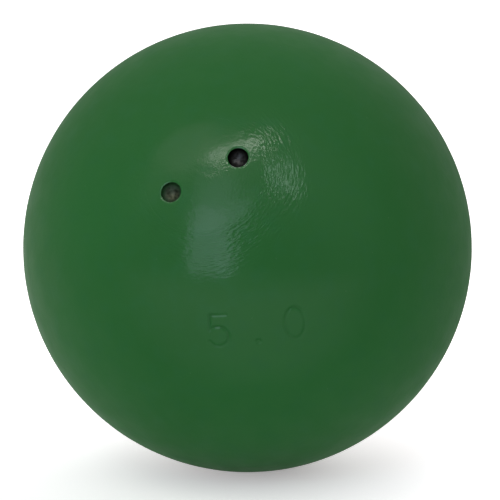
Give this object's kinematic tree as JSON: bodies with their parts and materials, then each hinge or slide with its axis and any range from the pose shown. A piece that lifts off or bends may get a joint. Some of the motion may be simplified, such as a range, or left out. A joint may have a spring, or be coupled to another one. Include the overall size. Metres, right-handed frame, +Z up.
{
  "type": "shot put",
  "caption": "Round painted iron ball for throwing, weighted with lead through a bore that a flush screw plug with spanner holes closes.",
  "frame": {"origin": "the point of the ground that the ball touches, under its centre", "axes": "+Z up; -Y to the front, where the screw plug is, on the upper left of the ball as seen from there; +X to the right"},
  "size_m": [0.11, 0.11, 0.11],
  "materials": {
    "ball": "satin",
    "plug": "satin",
    "washer": "satin",
    "wad": "matte",
    "lead": "matte",
    "pellets": "satin"
  },
  "bodies": {
    "ball": {"ball_body": "ball", "packing_wad": "wad", "lead_fill": "lead", "trim_pellet_1": "pellets", "trim_pellet_2": "pellets", "trim_pellet_3": "pellets", "trim_pellet_4": "pellets", "trim_pellet_5": "pellets", "trim_pellet_6": "pellets", "trim_pellet_7": "pellets"},
    "washer": {"seal_washer": "washer"},
    "plug": {"screw_plug": "plug"}
  },
  "joints": [
    {"name": "plug_lift", "type": "slide", "parent": "ball", "child": "washer", "axis": [-0.1907, -0.8394, 0.509], "range_m": [0, 0.012]},
    {"name": "plug_turn", "type": "hinge", "parent": "washer", "child": "plug", "pos_m": [0, 0, 0.055], "axis": [-0.1907, -0.8394, 0.509], "range_deg": [0, 2160]}
  ],
  "couplings": [
    {"joint": "plug_lift", "follows": "plug_turn", "m_per_rad": 0.0003183}
  ]
}
